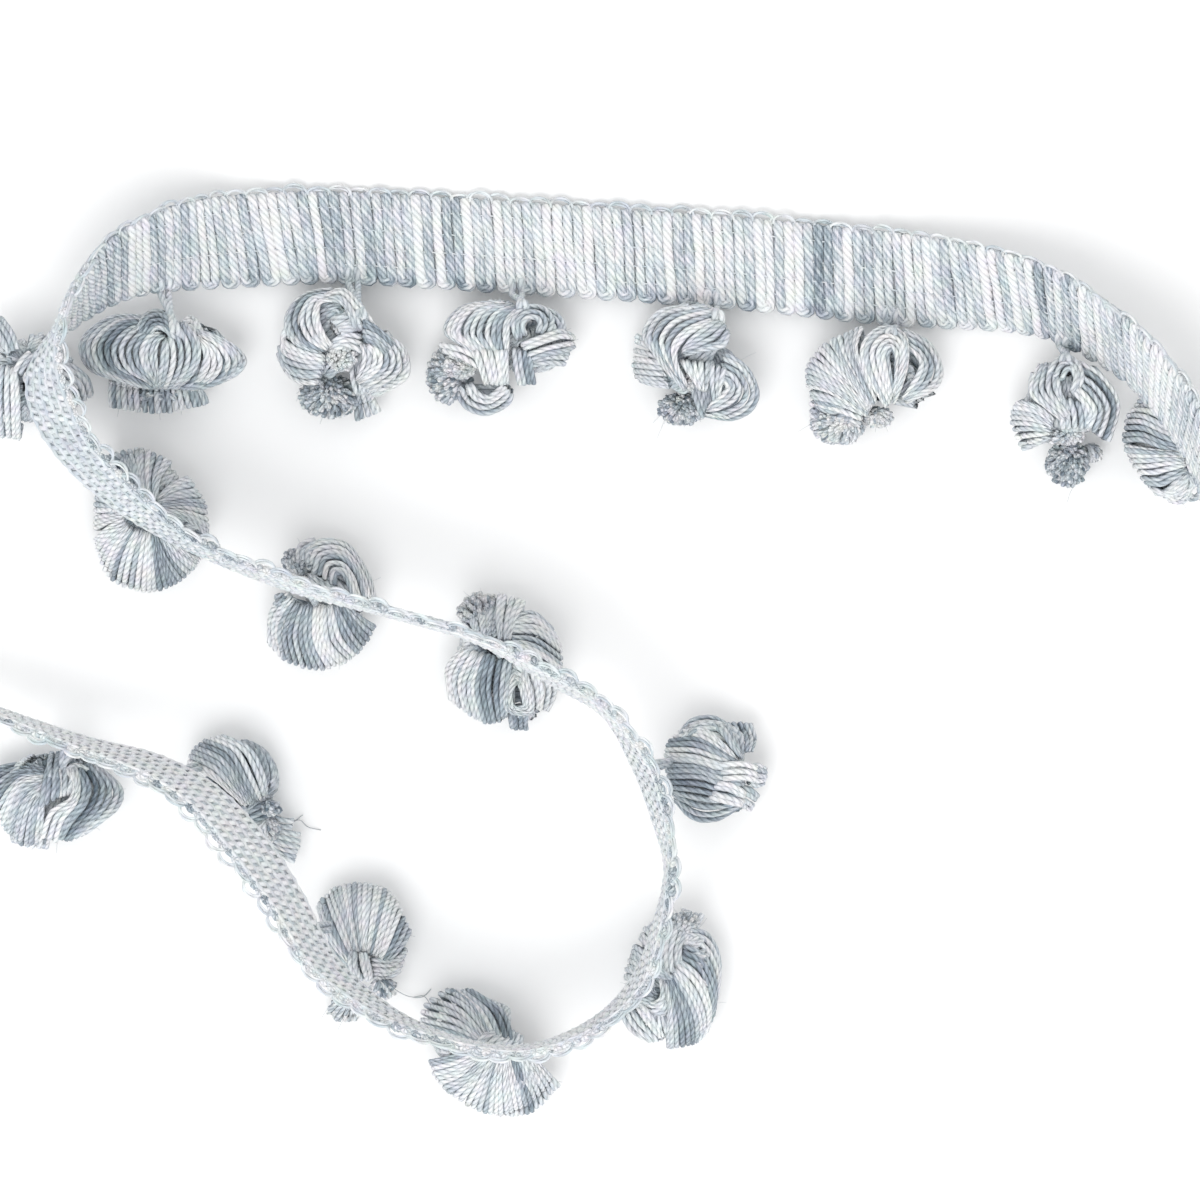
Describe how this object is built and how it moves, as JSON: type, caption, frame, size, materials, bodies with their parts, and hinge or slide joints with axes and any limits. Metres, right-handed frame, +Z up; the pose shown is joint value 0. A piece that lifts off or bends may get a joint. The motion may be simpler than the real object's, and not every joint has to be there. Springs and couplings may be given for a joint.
{
  "type": "pompom fringe trim",
  "caption": "Loose length of woven heading tape with a picot edge and onion-shaped yarn pompoms hanging on short loops, lying in an open S; sewn on as an edging.",
  "frame": {"origin": "middle of the footprint on the surface the length lies on, with z 0 at that surface", "axes": "+Z up off the surface; +X along the level run, toward its rising end; +Y toward that run's picot edge"},
  "size_m": [0.1834, 0.1288, 0.0311],
  "materials": {
    "heading_yarn": "matte woven two-ply yarn, space-dyed white to grey blue",
    "pompom_yarn": "matte two-ply yarn, space-dyed white to grey blue"
  },
  "bodies": {
    "root": {"heading_tape": "heading_yarn", "pompom_01": "pompom_yarn", "pompom_02": "pompom_yarn", "pompom_03": "pompom_yarn", "pompom_04": "pompom_yarn", "pompom_05": "pompom_yarn", "pompom_06": "pompom_yarn", "pompom_07": "pompom_yarn", "pompom_08": "pompom_yarn", "pompom_09": "pompom_yarn", "pompom_10": "pompom_yarn", "pompom_11": "pompom_yarn", "pompom_12": "pompom_yarn", "pompom_13": "pompom_yarn", "pompom_14": "pompom_yarn", "pompom_15": "pompom_yarn", "pompom_16": "pompom_yarn", "pompom_17": "pompom_yarn"}
  },
  "joints": []
}
